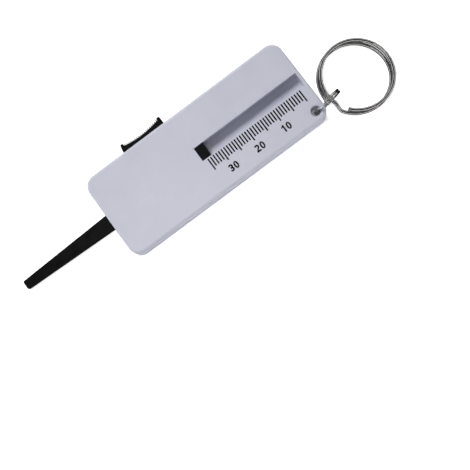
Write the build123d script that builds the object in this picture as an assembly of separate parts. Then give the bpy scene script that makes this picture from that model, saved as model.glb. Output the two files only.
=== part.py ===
from build123d import *
import math
import os

# Tyre tread depth gauge: two moulded shells, a sliding probe, a small link and a split key ring.
# +X runs towards the key ring, +Y towards the thumb tab, +Z out of the printed face.
# The origin is the middle of the casing's back face. All lengths are millimetres.

# casing
body_length = 74.7
body_width = 29.6
body_thickness = 5.0
corner_radius = 3.9
face_fillet = 1.0
back_fillet = 0.6
wall = 1.3
cover_plate = 1.2
floor_plate = 1.2
parting_height = 2.5
seam_chamfer = 0.12
cut_overrun = 1.0

# window in the cover, and the reading range of the scale
window_width = 4.95
window_start = -2.9
scale_zero = 33.74
slide_line = -0.25

# key ring hole
hole_radius = 1.6
hole_rim_chamfer = 0.25
hole_from_end = 3.28
hole_from_side = 3.47
hole_sleeve = 1.2

# locating pins
pin_radius = 0.8
pin_length = 1.0
pin_clearance = 0.05
pin_boss_wall = 0.9
pin_inset = 5.6
middle_pin_x = 2.0

# probe slider
travel = 35.5
slide_clearance = 0.15
tongue_root_width = 5.28
tongue_tip_width = 3.02
tongue_thickness = 1.8
tongue_tip_radius = 0.5
tongue_edge_chamfer = 0.2
bar_width = 8.0
pointer_length = 3.17
pointer_below_face = 0.3
finger_length = 9.0
finger_thickness = 0.8
finger_gap = 0.7
finger_crown = 0.25
finger_offset = 12.0

# thumb tab
tab_length = 15.6
tab_centre = -13.4
tab_depth = 4.0
tab_gap = 0.2
tab_end_height = 2.3
tab_waist_height = 0.75
tab_waist_shift = 0.4
tab_end_width = 1.2
tab_end_radius = 0.45
tab_left_step = 0.95
tab_right_step = 0.75
tab_lean = 0.45
tab_arm_inset = 1.7
rib_count = 18
rib_width = 0.52
rib_tip_width = 0.2
rib_height = 0.65
rib_root = 0.25
rib_inset = 0.2

# guide rail inside the rear shell
rail_width = 1.0
rail_below_cover = 0.1
short_rail_length = 14.0

# small link through the hole
link_outer_radius = 5.25
link_wire = 0.72
link_coil_gap = 0.02
link_centre_reach = 4.72
link_height = 2.3
link_lean = 7.0
link_end_turn = 150.0
link_jog_turn = 34.0

# key ring
ring_outer_radius = 12.1
ring_wire = 1.2
ring_coil_gap = 0.06
ring_coil_shift = 0.95
ring_centre_reach = 18.0
ring_height = -1.5
ring_tilt = 6.0
ring_end_turn = 206.0
ring_jog_turn = 19.0
rings_yaw = 8.3

# places that follow from the sizes above
half_length = body_length / 2
half_width = body_width / 2
cover_inside = body_thickness - cover_plate
hole_x = half_length - hole_from_end
hole_y = hole_from_side - half_width
window_end = half_length - wall
bar_bottom = floor_plate + slide_clearance
bar_top = cover_inside - slide_clearance
bar_start = wall + slide_clearance - half_length
pointer_front = window_start + slide_clearance + pointer_length
tongue_reach = scale_zero - pointer_front
tongue_tip_x = -half_length - tongue_reach
middle_height = (floor_plate + cover_inside) / 2
tab_start = tab_centre - tab_length / 2
tab_end = tab_centre + tab_length / 2
arm_start = tab_start + tab_arm_inset
arm_end = tab_end - tab_arm_inset
pin_places = [
    (pin_inset - half_length, pin_inset - half_width),
    (pin_inset - half_length, half_width - pin_inset),
    (half_length - pin_inset, half_width - pin_inset),
    (middle_pin_x, pin_inset - half_width),
]


def outline(inset):
    """Plan outline of the casing, drawn in by an inset."""
    return RectangleRounded(body_length - 2 * inset, body_width - 2 * inset, corner_radius - inset)


def slab(sketch, low, high):
    """Extrude a plan sketch between two heights."""
    return extrude(Pos(0, 0, low) * sketch, high - low)


def block(x_range, y_range, z_range):
    """Box between two corners."""
    size = [high - low for low, high in (x_range, y_range, z_range)]
    middle = [(low + high) / 2 for low, high in (x_range, y_range, z_range)]
    return Pos(*middle) * Box(*size)


def post(place, radius, low, high):
    """Round post standing at a plan position."""
    return slab(Pos(*place) * Circle(radius), low, high)


def edges_at(shape, height):
    """Edges that lie flat at one height."""
    return shape.edges().filter_by_position(Axis.Z, height - 0.001, height + 0.001)


def openings():
    """What passes through the side walls of both shells: the tongue's mouth and the tab's slot."""
    reach = tongue_root_width / 2 + slide_clearance
    height = tongue_thickness / 2 + slide_clearance
    heights = (middle_height - height, middle_height + height)
    mouth_x = (-half_length - cut_overrun, wall - half_length + cut_overrun)
    mouth = block(mouth_x, (slide_line - reach, slide_line + reach), heights)
    slot_x = (arm_start - slide_clearance, arm_end + travel + slide_clearance)
    slot_y = (half_width - wall - cut_overrun, half_width + cut_overrun)
    slot = block(slot_x, slot_y, heights)
    return mouth + slot


def drill_hole(body, height):
    """Cut the key ring hole and break its rim on an outer face."""
    hole = post((hole_x, hole_y), hole_radius, -cut_overrun, body_thickness + cut_overrun)
    body = body - hole
    rim = edges_at(body, height).filter_by(GeomType.CIRCLE)
    rim = [edge for edge in rim if abs(edge.radius - hole_radius) < 0.01]
    return chamfer(rim, hole_rim_chamfer)


def front_cover():
    """Cover with the printed face, the window and the locating pins."""
    body = slab(outline(0), parting_height, body_thickness)
    body = fillet(edges_at(body, body_thickness), face_fillet)
    body = chamfer(edges_at(body, parting_height), seam_chamfer)
    cavity = slab(outline(wall), parting_height, cover_inside)
    sleeve = post((hole_x, hole_y), hole_radius + hole_sleeve, parting_height, cover_inside)
    body = body - (cavity - sleeve)
    for place in pin_places:
        body = body + post(place, pin_radius + pin_boss_wall, parting_height, cover_inside)
        body = body + post(place, pin_radius, parting_height - pin_length, parting_height)
    window_y = (slide_line - window_width / 2, slide_line + window_width / 2)
    body = body - block((window_start, window_end), window_y, (parting_height, body_thickness + cut_overrun))
    body = body - openings()
    return drill_hole(body, body_thickness)


def rail(start, end, side):
    """Guide rail beside the slider's bar, on the rear shell's floor."""
    near = bar_width / 2 + slide_clearance
    span = sorted((slide_line + side * near, slide_line + side * (near + rail_width)))
    return block((start, end), span, (floor_plate, cover_inside - rail_below_cover))


def rear_shell():
    """Rear tray with the guide rails and the sockets for the cover's pins."""
    body = slab(outline(0), 0, parting_height)
    body = fillet(edges_at(body, 0), back_fillet)
    body = chamfer(edges_at(body, parting_height), seam_chamfer)
    cavity = slab(outline(wall), floor_plate, parting_height)
    sleeve = post((hole_x, hole_y), hole_radius + hole_sleeve, floor_plate, parting_height)
    body = body - (cavity - sleeve)
    for place in pin_places:
        body = body + post(place, pin_radius + pin_boss_wall, floor_plate, parting_height)
        socket_low = parting_height - pin_length - pin_clearance
        body = body - post(place, pin_radius + pin_clearance, socket_low, parting_height)
    body = body + rail(-window_end, window_end, -1)
    body = body + rail(-window_end, short_rail_length - window_end, 1)
    body = body - openings()
    return drill_hole(body, 0)


def tongue():
    """Flat tapered probe tongue with rounded tip corners."""
    root = tongue_root_width / 2
    tip = tongue_tip_width / 2
    lower = [(tongue_tip_x, -tip), (-half_length, -root), (bar_start + cut_overrun, -root)]
    upper = [(x, -y) for x, y in reversed(lower)]
    plan = make_face(Polyline(*lower, *upper, close=True))
    corners = plan.vertices().sort_by(Axis.X)[:2]
    plan = Pos(0, slide_line, 0) * fillet(corners, tongue_tip_radius)
    low = middle_height - tongue_thickness / 2
    body = slab(plan, low, low + tongue_thickness)
    rims = edges_at(body, low) + edges_at(body, low + tongue_thickness)
    return chamfer(rims, tongue_edge_chamfer)


def carriage():
    """Bar inside the casing, with the pointer block, the arm and the friction finger."""
    side = bar_width / 2
    bar = block((bar_start, pointer_front), (slide_line - side, slide_line + side), (bar_bottom, bar_top))
    pointer_half = window_width / 2 - slide_clearance
    pointer_x = (pointer_front - pointer_length, pointer_front)
    pointer_y = (slide_line - pointer_half, slide_line + pointer_half)
    pointer = block(pointer_x, pointer_y, (bar_bottom, body_thickness - pointer_below_face))
    arm_low = middle_height - tongue_thickness / 2
    arm_y = (slide_line, half_width + tab_gap + tab_waist_height / 2)
    arm = block((arm_start, arm_end), arm_y, (arm_low, arm_low + tongue_thickness))
    finger_end = bar_start + finger_offset + finger_length
    heights = (bar_bottom - cut_overrun, bar_top + cut_overrun)
    edge = slide_line - side
    relief_y = (edge + finger_thickness, edge + finger_thickness + finger_gap)
    relief = block((finger_end - finger_length, finger_end + finger_gap), relief_y, heights)
    tip_cut = block((finger_end, finger_end + finger_gap), (edge - cut_overrun, relief_y[1]), heights)
    back_cut = block((finger_end - finger_length, finger_end), (edge - cut_overrun, edge + finger_crown), heights)
    crown = Pos(finger_end - finger_gap, edge + finger_crown) * Circle(finger_crown)
    return bar - relief - tip_cut - back_cut + slab(crown, bar_bottom, bar_top) + pointer + arm


def tab_height(x):
    """Height of the tab's concave top above its base, as a circle through its two ends and its waist."""
    left = Vector(tab_start + tab_end_width, tab_end_height - tab_left_step)
    right = Vector(tab_end - tab_end_width, tab_end_height - tab_right_step)
    low = Vector(tab_centre + tab_waist_shift, tab_waist_height)
    arc = ThreePointArc(left, low, right)
    centre = arc.arc_center
    return centre.Y - math.sqrt(arc.radius ** 2 - (x - centre.X) ** 2)


def thumb_tab():
    """Thumb tab on the side of the casing, with a ribbed hollow between two plain ends."""
    base = half_width + tab_gap
    left = tab_start + tab_end_width
    right = tab_end - tab_end_width
    waist = tab_centre + tab_waist_shift
    start = (tab_start, base)
    top_left = (tab_start + tab_lean, base + tab_end_height)
    inner_left = (left + tab_lean / 2, base + tab_end_height)
    hollow_left = (left + tab_lean / 2, base + tab_height(left))
    hollow_right = (right, base + tab_height(right))
    inner_right = (right, base + tab_end_height)
    top_right = (tab_end, base + tab_end_height)
    finish = (tab_end, base)
    left_side = Polyline(start, top_left, inner_left, hollow_left)
    hollow = ThreePointArc(hollow_left, (waist, base + tab_waist_height), hollow_right)
    right_side = Polyline(hollow_right, inner_right, top_right, finish)
    plan = make_face(left_side + hollow + right_side + Line(finish, start))
    tops = plan.vertices().sort_by(Axis.Y)[-4:]
    plan = fillet(tops, tab_end_radius)
    low = middle_height - tab_depth / 2
    body = slab(plan, low, low + tab_depth)
    pitch = (right - left - tab_lean / 2) / rib_count
    for index in range(rib_count):
        x = left + tab_lean / 2 + pitch * (index + 0.5)
        foot = base + tab_height(x) - rib_root
        tip = base + tab_height(x) + rib_height
        half = rib_width / 2
        tip_half = rib_tip_width / 2
        points = [(x - half, foot), (x - tip_half, tip), (x + tip_half, tip), (x + half, foot)]
        rib = make_face(Polyline(*points, close=True))
        body = body + slab(rib, low + rib_inset, low + tab_depth - rib_inset)
    return body


def probe_slider():
    """The whole black moulding, one solid."""
    return tongue() + carriage() + thumb_tab()


def coil_point(radius, turn, shift, height):
    """Point of a coil at a turn angle, for a coil whose centre is shifted along X."""
    angle = math.radians(turn)
    return Vector(shift + radius * math.cos(angle), radius * math.sin(angle), height)


def coil_direction(turn):
    """Direction of travel of a coil at a turn angle."""
    angle = math.radians(turn)
    return Vector(-math.sin(angle), math.cos(angle), 0)


def split_ring(outer_radius, wire, gap, shift, end_turn, jog_turn):
    """Two turns of round wire, one over the other, joined by a short jog beside the ends."""
    radius = outer_radius - wire / 2
    rise = (wire + gap) / 2
    spare = jog_turn * 0.25
    first = end_turn + spare
    last = end_turn + 360 - jog_turn
    upper = ThreePointArc(
        coil_point(radius, first, 0, rise),
        coil_point(radius, (first + last) / 2, 0, rise),
        coil_point(radius, last, 0, rise),
    )
    next_first = end_turn
    next_last = end_turn + 360 - jog_turn - spare
    lower = ThreePointArc(
        coil_point(radius, next_first, -shift, -rise),
        coil_point(radius, (next_first + next_last) / 2, -shift, -rise),
        coil_point(radius, next_last, -shift, -rise),
    )
    ends = (coil_point(radius, last, 0, rise), coil_point(radius, next_first, -shift, -rise))
    jog = Spline(*ends, tangents=(coil_direction(last), coil_direction(next_first)))
    path = Wire([upper, jog, lower])
    section = Plane(origin=upper @ 0, z_dir=upper % 0) * Circle(wire / 2)
    return sweep(section, path=path)


def link_ring():
    """Small ring through the corner hole, standing on edge and leaning a little."""
    ring = split_ring(link_outer_radius, link_wire, link_coil_gap, 0, link_end_turn, link_jog_turn)
    upright = Rot(90 + link_lean, 0, 0) * ring
    along = Pos(link_centre_reach, 0, link_height) * upright
    return Pos(hole_x, hole_y, 0) * Rot(0, 0, rings_yaw) * along


def key_ring():
    """Key ring hooked through the link, its far side lower than its near side."""
    ring = split_ring(
        ring_outer_radius, ring_wire, ring_coil_gap, ring_coil_shift, ring_end_turn, ring_jog_turn
    )
    along = Pos(ring_centre_reach, 0, ring_height) * Rot(0, ring_tilt, 0) * ring
    return Pos(hole_x, hole_y, 0) * Rot(0, 0, rings_yaw) * along


def main():
    """Write one file for each piece."""
    os.makedirs("parts", exist_ok=True)
    export_step(front_cover(), "parts/front_cover.step")
    export_step(rear_shell(), "parts/rear_shell.step")
    export_step(probe_slider(), "parts/probe_slider.step")
    export_step(link_ring(), "parts/link_ring.step")
    export_step(key_ring(), "parts/key_ring.step")


main()
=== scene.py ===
"""Finishes, printed scale and studio for the tyre tread depth gauge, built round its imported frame."""

import logging
import math
from dataclasses import dataclass, field
from enum import Enum

import bmesh
import bpy
from mathutils import Matrix, Vector


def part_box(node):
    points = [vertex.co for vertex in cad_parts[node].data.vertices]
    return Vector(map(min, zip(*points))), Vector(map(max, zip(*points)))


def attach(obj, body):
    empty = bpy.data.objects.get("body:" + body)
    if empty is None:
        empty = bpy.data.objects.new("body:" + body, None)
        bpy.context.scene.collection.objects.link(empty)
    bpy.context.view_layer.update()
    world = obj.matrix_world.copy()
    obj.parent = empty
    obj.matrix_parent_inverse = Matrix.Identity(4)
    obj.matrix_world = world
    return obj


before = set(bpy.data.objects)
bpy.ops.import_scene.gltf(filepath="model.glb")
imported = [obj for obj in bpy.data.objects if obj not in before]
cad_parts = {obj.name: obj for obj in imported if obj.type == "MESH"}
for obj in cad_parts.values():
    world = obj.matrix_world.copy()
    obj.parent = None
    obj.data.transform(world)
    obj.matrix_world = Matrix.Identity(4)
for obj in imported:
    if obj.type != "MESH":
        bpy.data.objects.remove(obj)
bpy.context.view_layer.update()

log = logging.getLogger("tread_gauge")

MM = 0.001

Colour = tuple[float, float, float]
Place = tuple[float, float, float]
Direction = tuple[float, float, float]
PlanPoint = tuple[float, float]


class TickKind(Enum):
    """The two lengths of line on the printed scale."""

    SHORT = "short"
    LONG = "long"


class LightRole(Enum):
    """What each studio light is there for."""

    KEY = "key"
    FILL = "fill"
    TOP = "top"


class ShaderSheet:
    """One material's node tree, with short calls to add and join its nodes."""

    def __init__(self, name: str) -> None:
        """Start an empty sheet that holds a principled shader and its output.

        Args:
            name: The material's name.
        """
        self.material = bpy.data.materials.new(name)
        self.material.use_nodes = True
        self.tree = self.material.node_tree
        self.tree.nodes.clear()
        self.shader = self.tree.nodes.new("ShaderNodeBsdfPrincipled")
        output = self.tree.nodes.new("ShaderNodeOutputMaterial")
        self.join(self.shader.outputs["BSDF"], output.inputs["Surface"])
        self.place = self.tree.nodes.new("ShaderNodeTexCoord").outputs["Object"]

    def join(self, source: bpy.types.NodeSocket, target: bpy.types.NodeSocket) -> None:
        """Link one socket to another.

        Args:
            source: The output socket.
            target: The input socket.
        """
        self.tree.links.new(source, target)

    def set(self, **values: object) -> None:
        """Set plain values on the shader's own sockets.

        Args:
            values: Socket names in lower case with underscores, and their values.
        """
        for name, value in values.items():
            title = " ".join("IOR" if word == "ior" else word.capitalize() for word in name.split("_"))
            self.shader.inputs[title].default_value = value

    def noise(
        self, size: float, detail: float = 2.0, stretch: Vector | None = None, turn: float = 0.0
    ) -> bpy.types.NodeSocket:
        """Add a noise pattern.

        Args:
            size: Width of one feature, in metres.
            detail: Octaves of finer noise.
            stretch: How many times longer the features are along each axis.
            turn: Turn of a stretched pattern about Z, in radians.

        Returns:
            The pattern's value from 0 to 1.
        """
        texture = self.tree.nodes.new("ShaderNodeTexNoise")
        texture.inputs["Scale"].default_value = 1.0
        texture.inputs["Detail"].default_value = detail
        mapping = self.tree.nodes.new("ShaderNodeMapping")
        lengths = stretch if stretch is not None else Vector((1.0, 1.0, 1.0))
        mapping.inputs["Scale"].default_value = [1.0 / (size * length) for length in lengths]
        mapping.inputs["Rotation"].default_value = (0.0, 0.0, turn)
        self.join(self.place, mapping.inputs["Vector"])
        self.join(mapping.outputs["Vector"], texture.inputs["Vector"])
        return texture.outputs["Fac"]

    def spread(
        self, value: bpy.types.NodeSocket, low: float, high: float, near: float = 0.3, far: float = 0.7
    ) -> bpy.types.NodeSocket:
        """Map a pattern onto a range.

        Args:
            value: The pattern, from 0 to 1.
            low: What the pattern's near end becomes.
            high: What the pattern's far end becomes.
            near: The pattern's value that gives low.
            far: The pattern's value that gives high.

        Returns:
            The mapped value.
        """
        mapped = self.tree.nodes.new("ShaderNodeMapRange")
        mapped.inputs["From Min"].default_value = near
        mapped.inputs["From Max"].default_value = far
        mapped.inputs["To Min"].default_value = low
        mapped.inputs["To Max"].default_value = high
        self.join(value, mapped.inputs["Value"])
        return mapped.outputs["Result"]

    def work(
        self, operation: str, first: bpy.types.NodeSocket, second: bpy.types.NodeSocket | float = 0.0
    ) -> bpy.types.NodeSocket:
        """Work out a value from one or two others.

        Args:
            operation: Which sum to do.
            first: One value.
            second: The other value, a socket or a number.

        Returns:
            The result.
        """
        node = self.tree.nodes.new("ShaderNodeMath")
        node.operation = operation
        self.join(first, node.inputs[0])
        if isinstance(second, float):
            node.inputs[1].default_value = second
        else:
            self.join(second, node.inputs[1])
        return node.outputs["Value"]

    def distance_outside(self, middle: Vector, half_size: Vector) -> bpy.types.NodeSocket:
        """Measure how far a point lies outside an upright rectangle of the sheet's plane.

        Args:
            middle: Middle of the rectangle.
            half_size: Half its length and half its width.

        Returns:
            The distance in metres, below zero inside.
        """
        split = self.tree.nodes.new("ShaderNodeSeparateXYZ")
        self.join(self.place, split.inputs["Vector"])
        gaps = []
        for axis in range(2):
            offset = self.work("ABSOLUTE", self.work("SUBTRACT", split.outputs[axis], middle[axis]))
            gaps.append(self.work("SUBTRACT", offset, half_size[axis]))
        return self.work("MAXIMUM", *gaps)

    def tones(self, value: bpy.types.NodeSocket, dark: Colour, light: Colour) -> None:
        """Colour the surface between two close tones.

        Args:
            value: The pattern that chooses between them.
            dark: The tone at 0, linear.
            light: The tone at 1, linear.
        """
        mix = self.tree.nodes.new("ShaderNodeMix")
        mix.data_type = "RGBA"
        mix.inputs["A"].default_value = (*dark, 1.0)
        mix.inputs["B"].default_value = (*light, 1.0)
        self.join(value, mix.inputs["Factor"])
        self.join(mix.outputs["Result"], self.shader.inputs["Base Color"])

    def relief(self, height: bpy.types.NodeSocket, depth: float) -> None:
        """Raise the surface by a pattern.

        Args:
            height: The pattern, from 0 to 1.
            depth: How far 1 stands above 0, in metres.
        """
        bump = self.tree.nodes.new("ShaderNodeBump")
        bump.inputs["Distance"].default_value = depth
        self.join(height, bump.inputs["Height"])
        self.join(bump.outputs["Normal"], self.shader.inputs["Normal"])


@dataclass(frozen=True)
class SatinShell:
    """Pale satin ABS of the two casing halves, with a faint flow mottle and handling marks."""

    dark: Colour = (0.740, 0.755, 0.870)
    light: Colour = (0.775, 0.790, 0.900)
    mottle_size: float = 9.0 * MM
    grain_size: float = 0.11 * MM
    grain_depth: float = 0.0016 * MM
    scuff_width: float = 0.12 * MM
    scuff_stretch: float = 45.0
    scuff_turns: tuple[float, ...] = (0.3, -0.9)
    scuff_band: tuple[float, float] = (0.62, 0.72)
    roughness: tuple[float, float] = (0.18, 0.24)
    scuff_roughness: float = 0.06

    def material(self) -> bpy.types.Material:
        """Make the material.

        Returns:
            The finished material.
        """
        sheet = ShaderSheet("satin_shell")
        mottle = sheet.noise(self.mottle_size, detail=3.0)
        sheet.tones(sheet.spread(mottle, 0.0, 1.0), self.dark, self.light)
        rough = sheet.spread(mottle, *self.roughness)
        for turn in self.scuff_turns:
            stretch = Vector((self.scuff_stretch, 1.0, 1.0))
            scuff = sheet.noise(self.scuff_width, detail=1.0, stretch=stretch, turn=turn)
            rough = sheet.work("ADD", rough, sheet.spread(scuff, 0.0, self.scuff_roughness, *self.scuff_band))
        sheet.join(rough, sheet.shader.inputs["Roughness"])
        sheet.relief(sheet.noise(self.grain_size, detail=2.0), self.grain_depth)
        sheet.set(ior=1.52, specular_ior_level=0.45)
        return sheet.material


@dataclass(frozen=True)
class GrainedBlack:
    """Black moulded plastic of the probe, with a fine spark-eroded grain."""

    dark: Colour = (0.0060, 0.0060, 0.0066)
    light: Colour = (0.0105, 0.0105, 0.0115)
    grain_size: float = 0.16 * MM
    grain_depth: float = 0.006 * MM
    wear_size: float = 2.6 * MM
    roughness: tuple[float, float] = (0.26, 0.34)

    def material(self) -> bpy.types.Material:
        """Make the material.

        Returns:
            The finished material.
        """
        sheet = ShaderSheet("grained_black")
        wear = sheet.noise(self.wear_size, detail=4.0)
        sheet.tones(sheet.spread(wear, 0.0, 1.0), self.dark, self.light)
        sheet.join(sheet.spread(wear, *self.roughness), sheet.shader.inputs["Roughness"])
        sheet.relief(sheet.noise(self.grain_size, detail=3.0), self.grain_depth)
        sheet.set(specular_ior_level=0.06)
        return sheet.material


@dataclass(frozen=True)
class NickelWire:
    """Bright nickel plate over drawn spring wire."""

    dark: Colour = (0.42, 0.415, 0.41)
    light: Colour = (0.58, 0.575, 0.57)
    tarnish_size: float = 1.4 * MM
    drawing_size: float = 0.09 * MM
    drawing_depth: float = 0.0012 * MM
    roughness: tuple[float, float] = (0.02, 0.07)

    def material(self) -> bpy.types.Material:
        """Make the material.

        Returns:
            The finished material.
        """
        sheet = ShaderSheet("nickel_wire")
        tarnish = sheet.noise(self.tarnish_size, detail=4.0)
        sheet.tones(sheet.spread(tarnish, 0.0, 1.0), self.dark, self.light)
        sheet.join(sheet.spread(tarnish, *self.roughness), sheet.shader.inputs["Roughness"])
        sheet.relief(sheet.noise(self.drawing_size, detail=2.0), self.drawing_depth)
        sheet.set(metallic=1.0)
        return sheet.material


@dataclass(frozen=True)
class PadInk:
    """Black pad-printed ink, a little uneven in cover."""

    dark: Colour = (0.004, 0.004, 0.005)
    light: Colour = (0.010, 0.010, 0.012)
    patch_size: float = 0.35 * MM
    roughness: tuple[float, float] = (0.40, 0.55)

    def material(self) -> bpy.types.Material:
        """Make the material.

        Returns:
            The finished material.
        """
        sheet = ShaderSheet("pad_ink")
        patches = sheet.noise(self.patch_size, detail=3.0)
        sheet.tones(sheet.spread(patches, 0.0, 1.0), self.dark, self.light)
        sheet.join(sheet.spread(patches, *self.roughness), sheet.shader.inputs["Roughness"])
        sheet.set(specular_ior_level=0.1)
        return sheet.material


@dataclass(frozen=True)
class StudioPaper:
    """White floor that the gauge lies on, glowing evenly so it reads pure white, with a painted shade patch
    where the casing covers it.
    """

    colour: Colour = (0.95, 0.95, 0.95)
    roughness: float = 0.9
    glow: float = 0.85
    shade_inset: float = 2.0 * MM

    def material(self, middle: Vector, half_size: Vector) -> bpy.types.Material:
        """Make the material: an even glow that fades to none inside the casing's outline, as painted shade
        under the casing.

        Args:
            middle: Middle of the painted shade patch under the casing, in the sheet's own plane.
            half_size: Half the length and half the width of the painted shade patch.

        Returns:
            The finished material.
        """
        sheet = ShaderSheet("studio_paper")
        sheet.set(base_color=(*self.colour, 1.0), roughness=self.roughness)
        sheet.set(emission_color=(*self.colour, 1.0))
        # Painted shade: the glow fades to none between the casing's outline and shade_inset inside it, so the
        # floor under the casing reads dark.
        outside = sheet.distance_outside(middle, half_size)
        strength = sheet.spread(outside, 0.0, self.glow, -self.shade_inset, 0.0)
        sheet.join(strength, sheet.shader.inputs["Emission Strength"])
        return sheet.material


def dress(node: str, material: bpy.types.Material) -> None:
    """Give a fixed piece of the frame its finish.

    Args:
        node: The piece's name.
        material: Its finish.
    """
    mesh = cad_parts[node].data
    mesh.materials.clear()
    mesh.materials.append(material)
    log.info("%s: %s", node, material.name)


def mesh_piece(name: str, shape: bmesh.types.BMesh, material: bpy.types.Material) -> bpy.types.Object:
    """Turn a shape into an object of the scene.

    Args:
        name: The piece's name.
        shape: The shape, which is freed.
        material: Its finish.

    Returns:
        The new object.
    """
    mesh = bpy.data.meshes.new(name)
    shape.to_mesh(mesh)
    shape.free()
    mesh.materials.append(material)
    piece = bpy.data.objects.new(name, mesh)
    bpy.context.scene.collection.objects.link(piece)
    return piece


def arc(centre: Vector, radii: Vector, start: float, end: float, steps: int = 20) -> list[Vector]:
    """Points along an elliptic arc.

    Args:
        centre: Middle of the ellipse.
        radii: Its half width and half height.
        start: First angle, in degrees.
        end: Last angle, in degrees.
        steps: Number of straight pieces.

    Returns:
        The points, both ends included.
    """
    angles = [math.radians(start + (end - start) * index / steps) for index in range(steps + 1)]
    return [centre + Vector((radii.x * math.cos(a), radii.y * math.sin(a))) for a in angles]


@dataclass
class BoldDigits:
    """Plain bold figures for a scale, drawn from arcs and straight strokes.

    The outlines are worked out for a figure of height 1 that stands on y = 0 with its middle at x = 0.
    The flag of the one is measured from the left edge of its stem.
    """

    height: float = 2.45 * MM
    spacing: float = 1.82 * MM
    middle: float = 0.5
    half_width: float = 0.31
    stroke: float = 0.215
    zero_steps: int = 40
    zero_thinning: float = 0.85
    stem_right: float = 0.20
    flag: tuple[PlanPoint, ...] = (
        (0.035, 1.0), (-0.05, 0.875), (-0.22, 0.79), (-0.22, 0.625), (-0.09, 0.67), (0.0, 0.74),
    )
    bowl_height: float = 0.30
    bowl_tail: float = 165.0
    diagonal_turn: float = -35.0
    diagonal_foot: float = -0.055
    foot_overhang: float = 0.01
    heel_height: float = 0.12
    bar_end: float = -0.11

    def zero(self) -> list[list[Vector]]:
        """Draw an oval with an oval opening.

        Returns:
            The outer outline and the inner one.
        """
        middle = Vector((0.0, self.middle))
        outer_radii = Vector((self.half_width, self.middle))
        inner_radii = outer_radii - Vector((self.stroke, self.stroke * self.zero_thinning))
        return [arc(middle, radii, 0.0, 360.0, self.zero_steps)[:-1] for radii in (outer_radii, inner_radii)]

    def one(self) -> list[list[Vector]]:
        """Draw a stem with a flag to its left.

        Returns:
            Its one outline.
        """
        left = self.stem_right - self.stroke
        flag = [(left + offset, height) for offset, height in self.flag]
        corners = [(self.stem_right, 0.0), (self.stem_right, 1.0), *flag, (left, 0.0)]
        return [[Vector(corner) for corner in corners]]

    def two(self) -> list[list[Vector]]:
        """Draw a bowl that runs down a diagonal into a flat foot.

        Returns:
            Its one outline.
        """
        bowl = Vector((0.0, 1.0 - self.bowl_height))
        outer_radii = Vector((self.half_width, self.bowl_height))
        inner_radii = outer_radii - Vector((self.stroke, self.stroke))
        outer = arc(bowl, outer_radii, self.bowl_tail, self.diagonal_turn)
        inner = arc(bowl, inner_radii, self.diagonal_turn, self.bowl_tail)
        side = self.half_width + self.foot_overhang
        foot = [(self.diagonal_foot, self.stroke), (side, self.stroke), (side, 0.0)]
        heel = [(-side, 0.0), (-side, self.heel_height)]
        return [outer + [Vector(corner) for corner in foot + heel] + inner]

    def three(self) -> list[list[Vector]]:
        """Draw two bowls, one over the other, that share a short bar.

        Returns:
            Its one outline.
        """
        overlap = self.stroke / 2
        half = (self.middle + overlap) / 2
        outer_radii = Vector((self.half_width, half))
        inner_radii = outer_radii - Vector((self.stroke, self.stroke))
        upper = Vector((0.0, 1.0 - half))
        lower = Vector((0.0, half))
        meet = math.degrees(math.asin((self.middle - half) / half))
        outline = arc(upper, outer_radii, self.bowl_tail, -meet)
        outline += arc(lower, outer_radii, meet, -self.bowl_tail)[1:]
        outline += arc(lower, inner_radii, -self.bowl_tail, 90.0)
        outline += [Vector((self.bar_end, self.middle + side * overlap)) for side in (-1, 1)]
        return [outline + arc(upper, inner_radii, -90.0, self.bowl_tail)]

    def draw(self, shape: bmesh.types.BMesh, digit: str, place: Vector, thickness: float) -> None:
        """Add one figure as a flat solid.

        Args:
            shape: The mesh that the figure goes into.
            digit: Which figure.
            place: Its middle, at its underside.
            thickness: How thick the ink is.
        """
        rings = {"0": self.zero, "1": self.one, "2": self.two, "3": self.three}[digit]()
        edges = []
        for ring in rings:
            offsets = [Vector((point.x, point.y - self.middle, 0.0)) * self.height for point in ring]
            corners = [shape.verts.new(place + offset) for offset in offsets]
            edges += [shape.edges.new(pair) for pair in zip(corners, corners[1:] + corners[:1])]
        filled = bmesh.ops.triangle_fill(shape, edges=edges, use_beauty=True)
        faces = [item for item in filled["geom"] if isinstance(item, bmesh.types.BMFace)]
        raised = bmesh.ops.extrude_face_region(shape, geom=faces, use_keep_orig=True)
        top = [item for item in raised["geom"] if isinstance(item, bmesh.types.BMVert)]
        bmesh.ops.translate(shape, verts=top, vec=Vector((0.0, 0.0, thickness)))
        bmesh.ops.recalc_face_normals(shape, faces=shape.faces)


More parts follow.
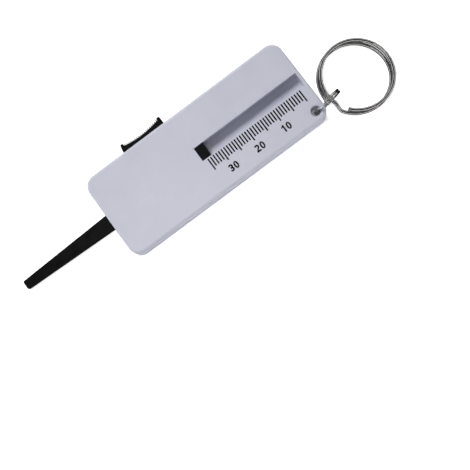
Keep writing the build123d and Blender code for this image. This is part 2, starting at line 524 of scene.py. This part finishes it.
@dataclass
class PrintedScale:
    """The millimetre lines and numbers printed beside the window."""

    zero_x: float = 33.74 * MM
    pitch: float = 1.0 * MM
    line_count: int = 36
    long_every: int = 5
    number_every: int = 10
    line_start_y: float = -3.08 * MM
    short_length: float = 3.30 * MM
    long_length: float = 4.16 * MM
    line_width: float = 0.48 * MM
    ink_height: float = 0.016 * MM
    ink_root: float = 0.010 * MM
    number_middle_y: float = -9.8 * MM
    number_shift_x: float = 0.11 * MM
    digits: BoldDigits = field(default_factory=BoldDigits)
    ink: PadInk = field(default_factory=PadInk)

    def kind(self, index: int) -> TickKind:
        """Tell a line's length from its place on the scale.

        Args:
            index: The line's reading in millimetres.

        Returns:
            Which of the two lengths it has.
        """
        return TickKind.LONG if index % self.long_every == 0 else TickKind.SHORT

    def line_x(self, index: int) -> float:
        """Place of a line along the casing.

        Args:
            index: The line's reading in millimetres.

        Returns:
            Its middle along X, in metres.
        """
        return self.zero_x - index * self.pitch

    def lines(self, face: float, material: bpy.types.Material) -> bpy.types.Object:
        """Print every line of the scale.

        Args:
            face: Height of the printed face.
            material: The ink.

        Returns:
            One piece with all the lines.
        """
        shape = bmesh.new()
        lengths = {TickKind.SHORT: self.short_length, TickKind.LONG: self.long_length}
        thickness = self.ink_root + self.ink_height
        for index in range(self.line_count):
            length = lengths[self.kind(index)]
            middle = Vector(
                (self.line_x(index), self.line_start_y - length / 2, face - self.ink_root + thickness / 2)
            )
            size = Matrix.Diagonal((self.line_width, length, thickness, 1.0))
            bmesh.ops.create_cube(shape, size=1.0, matrix=Matrix.Translation(middle) @ size)
        return mesh_piece("scale_lines", shape, material)

    def number(self, reading: int, face: float, material: bpy.types.Material) -> bpy.types.Object:
        """Print one number of the scale.

        Args:
            reading: The number, in millimetres.
            face: Height of the printed face.
            material: The ink.

        Returns:
            The number as one piece.
        """
        shape = bmesh.new()
        digits = str(reading)
        middle_x = self.line_x(reading) + self.number_shift_x
        for index, digit in enumerate(digits):
            step = (index - (len(digits) - 1) / 2) * self.digits.spacing
            place = Vector((middle_x + step, self.number_middle_y, face - self.ink_root))
            self.digits.draw(shape, digit, place, self.ink_root + self.ink_height)
        return mesh_piece(f"scale_number_{reading}", shape, material)

    def build(self) -> list[bpy.types.Object]:
        """Print the whole scale on the casing's face.

        Returns:
            The printed pieces.
        """
        material = self.ink.material()
        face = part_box("front_cover")[1].z
        printed = [self.lines(face, material)]
        for reading in range(self.number_every, self.line_count, self.number_every):
            printed.append(self.number(reading, face, material))
        for piece in printed:
            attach(piece, "casing")
            log.info("%s: %d faces", piece.name, len(piece.data.polygons))
        return printed


@dataclass
class Casing:
    """The two pale shells and the scale printed on the front one."""

    shells: tuple[str, ...] = ("front_cover", "rear_shell")
    finish: SatinShell = field(default_factory=SatinShell)
    scale: PrintedScale = field(default_factory=PrintedScale)

    def build(self) -> None:
        """Dress the shells and print the scale."""
        material = self.finish.material()
        for shell in self.shells:
            dress(shell, material)
        self.scale.build()


@dataclass
class Probe:
    """The black slider with its tongue, pointer and ribbed thumb tab."""

    finish: GrainedBlack = field(default_factory=GrainedBlack)

    def build(self) -> None:
        """Dress the slider."""
        dress("probe_slider", self.finish.material())


@dataclass
class Rings:
    """The small link and the split key ring."""

    rings: tuple[str, ...] = ("link_ring", "key_ring")
    finish: NickelWire = field(default_factory=NickelWire)

    def build(self) -> None:
        """Dress both rings."""
        material = self.finish.material()
        for ring in self.rings:
            dress(ring, material)


@dataclass(frozen=True)
class RoomGlow:
    """What shiny surfaces show of the room: a dark table and ceiling, and two pale bands all round.

    The lower band is the pale wall behind the table, and the upper one a row of lamps. Each stop is a
    place from straight down at 0 to straight up at 1, and its brightness.
    """

    stops: tuple[tuple[float, float], ...] = (
        (0.00, 0.02), (0.46, 0.02), (0.47, 0.90), (0.64, 0.85), (0.66, 0.04),
        (0.71, 0.08), (0.75, 2.60), (0.78, 2.60), (0.82, 0.08), (1.00, 0.04),
    )

    def build(self) -> bpy.types.World:
        """Put the room round the scene.

        Returns:
            The scene's world.
        """
        world = bpy.data.worlds.new("studio_room")
        world.use_nodes = True
        nodes, links = world.node_tree.nodes, world.node_tree.links
        split = nodes.new("ShaderNodeSeparateXYZ")
        links.new(nodes.new("ShaderNodeTexCoord").outputs["Generated"], split.inputs["Vector"])
        height = nodes.new("ShaderNodeMapRange")
        height.inputs["From Min"].default_value = -1.0
        links.new(split.outputs["Z"], height.inputs["Value"])
        ramp = nodes.new("ShaderNodeValToRGB")
        links.new(height.outputs["Result"], ramp.inputs["Fac"])
        bands = ramp.color_ramp.elements
        while len(bands) < len(self.stops):
            bands.new(1.0)
        for band, (place, brightness) in zip(bands, self.stops):
            band.position = place
            band.color = (brightness, brightness, brightness, 1.0)
        links.new(ramp.outputs["Color"], nodes["Background"].inputs["Color"])
        bpy.context.scene.world = world
        world.cycles_visibility.diffuse = False
        return world


@dataclass(frozen=True)
class SoftLight:
    """One round soft light, aimed at the gauge."""

    role: LightRole
    place: Place
    diameter: float
    power: float
    aim: Place = (0.0, 0.0, 0.0)
    mirrored: bool = False

    def build(self) -> bpy.types.Object:
        """Hang the light, where shiny surfaces show it only if it is mirrored.

        Returns:
            The light.
        """
        lamp = bpy.data.lights.new(f"{self.role.value}_light", "AREA")
        lamp.shape = "DISK"
        lamp.size = self.diameter
        lamp.energy = self.power
        light = bpy.data.objects.new(lamp.name, lamp)
        bpy.context.scene.collection.objects.link(light)
        light.location = self.place
        light.visible_glossy = self.mirrored
        light.visible_camera = False
        light.rotation_euler = (Vector(self.aim) - Vector(self.place)).to_track_quat("-Z", "Y").to_euler()
        return light


@dataclass
class Studio:
    """Pale floor, soft lights and the camera at the photograph's angle."""

    floor_side: float = 60.0
    floor_slope: float = 0.0392
    floor_clearance: float = 0.02 * MM
    paper: StudioPaper = field(default_factory=StudioPaper)
    room: RoomGlow = field(default_factory=RoomGlow)
    lights: tuple[SoftLight, ...] = (
        SoftLight(LightRole.KEY, (-0.08, 0.50, 0.66), 0.34, 4.4),
        SoftLight(LightRole.FILL, (-0.10, -0.55, 0.42), 0.40, 1.2),
        SoftLight(LightRole.TOP, (-0.06, 0.06, 0.60), 0.22, 0.24, mirrored=True),
    )
    picture_width: float = 470.0
    focal_pixels: float = 800.0
    sensor_width: float = 36.0
    nearest_seen: float = 0.01
    camera_place: Place = (-0.00207, -0.05873, 0.24641)
    camera_right: Direction = (0.80219, -0.58892, -0.09831)
    camera_up: Direction = (0.5965, 0.79769, 0.08878)

    def floor(self) -> bpy.types.Object:
        """Lay the floor under the casing's edge, the link and the key ring.

        Returns:
            The floor.
        """
        shape = bmesh.new()
        bmesh.ops.create_grid(shape, x_segments=1, y_segments=1, size=self.floor_side / 2)
        edge, far_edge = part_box("rear_shell")
        half_size = Vector((far_edge.x - edge.x, far_edge.y - edge.y)) / 2
        middle = Vector((half_size.x, 0.0))
        floor = mesh_piece("floor", shape, self.paper.material(middle, half_size))
        floor.location = (edge.x, 0.0, edge.z - self.floor_clearance)
        floor.rotation_euler = (0.0, math.atan(self.floor_slope), 0.0)
        floor.visible_glossy = False
        return floor

    def camera(self) -> bpy.types.Object:
        """Set the camera where the photograph was taken from.

        Returns:
            The camera.
        """
        lens = bpy.data.cameras.new("camera")
        lens.sensor_width = self.sensor_width
        lens.lens = self.focal_pixels * self.sensor_width / self.picture_width
        lens.clip_start = self.nearest_seen
        lens.clip_end = 2 * self.floor_side
        camera = bpy.data.objects.new("camera", lens)
        bpy.context.scene.collection.objects.link(camera)
        right = Vector(self.camera_right).normalized()
        back = right.cross(Vector(self.camera_up)).normalized()
        turn = Matrix((right, back.cross(right), back)).transposed()
        camera.matrix_world = Matrix.Translation(self.camera_place) @ turn.to_4x4()
        bpy.context.scene.camera = camera
        return camera

    def build(self) -> None:
        """Set up the whole studio."""
        self.floor()
        self.room.build()
        bpy.context.scene.view_settings.view_transform = "Standard"
        for light in self.lights:
            light.build()
        self.camera()


def main() -> None:
    """Build every sub-assembly, then the studio."""
    logging.basicConfig(level=logging.INFO, format="%(message)s")
    for part in (Casing(), Probe(), Rings(), Studio()):
        part.build()
        log.info("%s is done", type(part).__name__)


if __name__ == "__main__":
    main()
